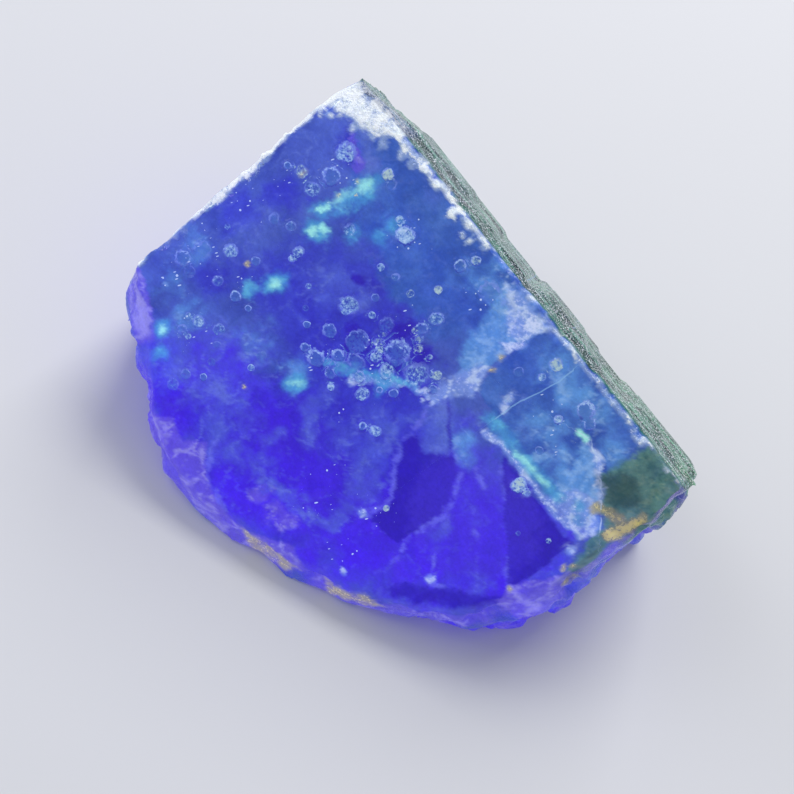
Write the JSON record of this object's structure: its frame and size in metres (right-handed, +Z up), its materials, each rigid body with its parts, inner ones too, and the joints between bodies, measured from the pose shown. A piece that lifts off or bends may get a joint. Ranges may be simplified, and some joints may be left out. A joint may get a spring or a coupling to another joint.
{
  "type": "fluorite crystal specimen",
  "caption": "Corner broken from a large fluorite cube: wide flat face, stepped growth side and fractured back, lying on a flat broken base.",
  "frame": {"origin": "centre of the bounding box's underside, on the surface that the crystal rests on", "axes": "+Z up; +X along the horizontal direction of the ridge, from its high end to its low end; the wide cube face looks towards -Y and up"},
  "size_m": [0.0554, 0.0464, 0.0319],
  "materials": {
    "fluorite": "glassy cube faces, satin cleavage"
  },
  "bodies": {
    "root": {"fluorite_crystal": "fluorite"}
  },
  "joints": []
}
